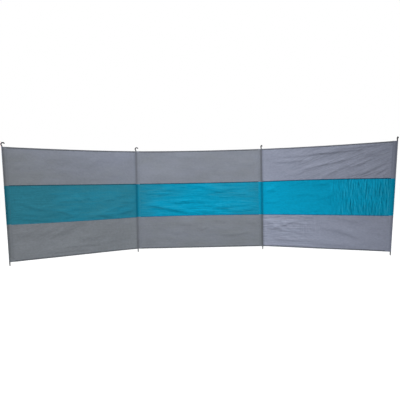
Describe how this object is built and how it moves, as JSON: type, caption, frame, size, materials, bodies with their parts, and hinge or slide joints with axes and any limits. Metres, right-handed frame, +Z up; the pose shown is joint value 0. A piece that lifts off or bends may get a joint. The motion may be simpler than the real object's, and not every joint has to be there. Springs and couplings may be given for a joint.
{
  "type": "beach windbreak",
  "caption": "Folding beach windbreak: bays of grey and blue banded cloth sewn in tunnels round bent steel rods with curled guy eyes, planted as a low screen.",
  "frame": {"origin": "centre of the flat tip of the second rod from the left, at the ground", "axes": "+X along the middle bay to the third rod, +Y to the side away from the sitters, +Z up"},
  "size_m": [4.5461, 0.9952, 1.3984],
  "materials": {
    "grey_cloth": "fine plain weave, slight sheen",
    "blue_cloth": "fine plain weave, slight sheen",
    "dark_seam": "felled seam with stitch rows",
    "coated_steel": "black coating, scuffed"
  },
  "bodies": {
    "middle_bay": {"middle_bay_bottom_hem": "grey_cloth", "middle_bay_bottom_band": "grey_cloth", "middle_bay_lower_seam": "dark_seam", "middle_bay_middle_band": "blue_cloth", "middle_bay_upper_seam": "dark_seam", "middle_bay_top_band": "grey_cloth", "middle_bay_top_hem": "grey_cloth", "pole_2": "coated_steel", "pole_2_bottom_sleeve": "grey_cloth", "pole_2_middle_sleeve": "blue_cloth", "pole_2_top_sleeve": "grey_cloth", "pole_3": "coated_steel", "pole_3_bottom_sleeve": "grey_cloth", "pole_3_middle_sleeve": "blue_cloth", "pole_3_top_sleeve": "grey_cloth"},
    "left_bay": {"left_bay_bottom_hem": "grey_cloth", "left_bay_bottom_band": "grey_cloth", "left_bay_lower_seam": "dark_seam", "left_bay_middle_band": "blue_cloth", "left_bay_upper_seam": "dark_seam", "left_bay_top_band": "grey_cloth", "left_bay_top_hem": "grey_cloth", "pole_1": "coated_steel", "pole_1_bottom_sleeve": "grey_cloth", "pole_1_middle_sleeve": "blue_cloth", "pole_1_top_sleeve": "grey_cloth"},
    "right_bay": {"right_bay_bottom_hem": "grey_cloth", "right_bay_bottom_band": "grey_cloth", "right_bay_lower_seam": "dark_seam", "right_bay_middle_band": "blue_cloth", "right_bay_upper_seam": "dark_seam", "right_bay_top_band": "grey_cloth", "right_bay_top_hem": "grey_cloth", "pole_4": "coated_steel", "pole_4_bottom_sleeve": "grey_cloth", "pole_4_middle_sleeve": "blue_cloth", "pole_4_top_sleeve": "grey_cloth"}
  },
  "joints": [
    {"name": "left_bay_fold", "type": "hinge", "parent": "middle_bay", "child": "left_bay", "pos_m": [0, 0, 0.695], "axis": [0, 0, 1], "range_deg": [-95, 125]},
    {"name": "right_bay_fold", "type": "hinge", "parent": "middle_bay", "child": "right_bay", "pos_m": [1.667, 0, 0.695], "axis": [0, 0, 1], "range_deg": [-32, 188]}
  ]
}
